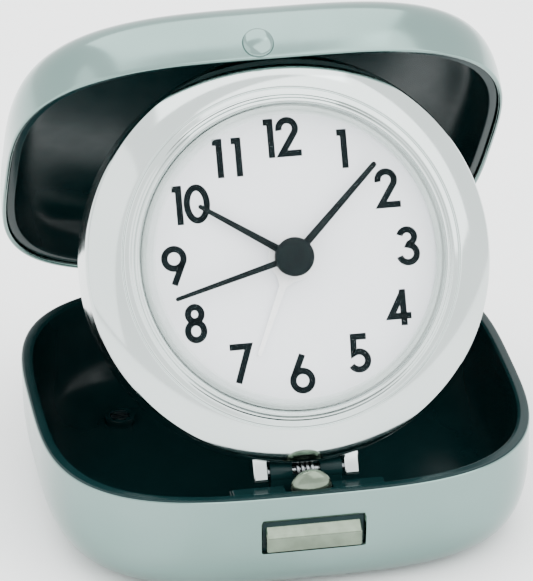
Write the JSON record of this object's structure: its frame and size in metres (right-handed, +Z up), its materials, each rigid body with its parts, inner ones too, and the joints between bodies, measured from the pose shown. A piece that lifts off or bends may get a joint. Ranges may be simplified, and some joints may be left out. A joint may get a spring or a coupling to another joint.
{
  "type": "folding travel alarm clock",
  "caption": "Clamshell travel alarm clock: polished metal half shells with black liners, and a round quartz clock that tips up between them on a front hinge.",
  "frame": {"origin": "middle of the base shell's flat bottom, on the surface it stands on", "axes": "+Z up, -Y towards the reader, +X to the reader's right"},
  "size_m": [0.0606, 0.0668, 0.062],
  "materials": {
    "polished_metal": "polished",
    "chrome": "mirror polished",
    "nickel": "satin nickel",
    "gloss_black": "glossy",
    "matt_black": "matt",
    "dial_white": "printed, matt",
    "hand_black": "satin black paint",
    "hand_white": "satin white paint",
    "clear_lens": "clear, polished",
    "steel": "bright",
    "brass": "bright",
    "white_plastic": "moulded",
    "board": "solder mask",
    "copper": "enamelled wire"
  },
  "bodies": {
    "base": {"base_shell": "polished_metal", "base_liner": "gloss_black", "liner_screw_1": "steel", "liner_screw_2": "steel", "liner_screw_3": "steel", "liner_screw_4": "steel", "clock_hinge_pin": "steel", "clock_spring": "steel", "base_hinge_leaf": "chrome", "lid_hinge_pin": "steel", "latch_spring": "steel"},
    "latch": {"release_button": "nickel", "catch_dome": "nickel"},
    "lid": {"lid_shell": "polished_metal", "lid_liner": "gloss_black", "lid_hinge_leaf": "chrome"},
    "clock": {"bezel_ring": "chrome", "crystal": "clear_lens", "reflector_ring": "chrome", "dial": "dial_white", "drum_case": "matt_black", "movement_front_plate": "white_plastic", "movement_back_plate": "white_plastic", "circuit_board": "board", "buzzer": "brass", "quartz_can": "steel", "button_cell": "steel", "battery_contact_front": "brass", "battery_contact_side": "brass", "motor_coil": "copper", "motor_stator": "steel"},
    "battery_door": {"battery_cover": "matt_black"},
    "minute_train": {"centre_wheel": "brass", "minute_hand": "hand_black"},
    "hour_train": {"hour_wheel": "white_plastic", "hour_hand": "hand_black"},
    "second_train": {"second_wheel": "white_plastic", "second_hand": "hand_black", "hub_cap": "hand_black"},
    "alarm_train": {"alarm_wheel": "white_plastic", "alarm_hand": "hand_white"},
    "third_arbor": {"third_wheel": "white_plastic"},
    "time_setter": {"motion_wheel": "white_plastic", "time_knob": "matt_black"},
    "alarm_setter": {"alarm_pinion": "white_plastic", "alarm_knob": "matt_black"},
    "stepper_rotor": {"motor_rotor": "steel"},
    "alarm_slider": {"alarm_switch": "white_plastic"}
  },
  "joints": [
    {"name": "lid_hinge", "type": "hinge", "parent": "base", "child": "lid", "pos_m": [0, 0.0303, 0.00975], "axis": [-1, 0, 0], "range_deg": [0, 45]},
    {"name": "clock_tilt", "type": "hinge", "parent": "base", "child": "clock", "pos_m": [0, -0.0224, 0.0141], "axis": [1, 0, 0], "range_deg": [-61.5, 0], "stiffness_Nm_per_rad": 0.006, "springref_deg": 126.05, "deforming": ["clock_spring"]},
    {"name": "release_press", "type": "slide", "parent": "base", "child": "latch", "axis": [0, 1, 0], "range_m": [0, 0.0008], "stiffness_N_per_m": 300, "springref_m": -0.001, "deforming": ["latch_spring"]},
    {"name": "battery_cover_slide", "type": "slide", "parent": "clock", "child": "battery_door", "axis": [1, 0, 0], "range_m": [0, 0.006]},
    {"name": "alarm_switch_slide", "type": "slide", "parent": "clock", "child": "alarm_slider", "axis": [1, 0, 0], "range_m": [0, 0.002]},
    {"name": "third_wheel_turn", "type": "hinge", "parent": "clock", "child": "third_arbor", "pos_m": [0, -0.0103, 0.0433], "axis": [0, 0.8788, -0.4772], "continuous": true},
    {"name": "second_turn", "type": "hinge", "parent": "clock", "child": "second_train", "pos_m": [0, -0.01347, 0.03747], "axis": [0, 0.8788, -0.4772], "continuous": true},
    {"name": "minute_turn", "type": "hinge", "parent": "clock", "child": "minute_train", "pos_m": [0, -0.01347, 0.03747], "axis": [0, 0.8788, -0.4772], "continuous": true},
    {"name": "hour_turn", "type": "hinge", "parent": "clock", "child": "hour_train", "pos_m": [0, -0.01347, 0.03747], "axis": [0, 0.8788, -0.4772], "continuous": true},
    {"name": "time_knob_turn", "type": "hinge", "parent": "clock", "child": "time_setter", "pos_m": [-0.00509, -0.0159, 0.033], "axis": [0, 0.8788, -0.4772], "continuous": true},
    {"name": "rotor_turn", "type": "hinge", "parent": "clock", "child": "stepper_rotor", "pos_m": [0.0063, -0.01347, 0.03747], "axis": [0, 0.8788, -0.4772], "continuous": true},
    {"name": "alarm_turn", "type": "hinge", "parent": "clock", "child": "alarm_train", "pos_m": [0, -0.01347, 0.03747], "axis": [0, 0.8788, -0.4772], "continuous": true},
    {"name": "alarm_knob_turn", "type": "hinge", "parent": "clock", "child": "alarm_setter", "pos_m": [0.00509, -0.0159, 0.033], "axis": [0, 0.8788, -0.4772], "continuous": true}
  ],
  "couplings": [
    {"joint": "second_turn", "follows": "third_wheel_turn", "ratio": -7.5},
    {"joint": "minute_turn", "follows": "third_wheel_turn", "ratio": -0.125},
    {"joint": "hour_turn", "follows": "third_wheel_turn", "ratio": -0.010417},
    {"joint": "time_knob_turn", "follows": "third_wheel_turn", "ratio": 0.041667},
    {"joint": "rotor_turn", "follows": "third_wheel_turn", "ratio": 45},
    {"joint": "alarm_knob_turn", "follows": "alarm_turn", "ratio": -3}
  ]
}
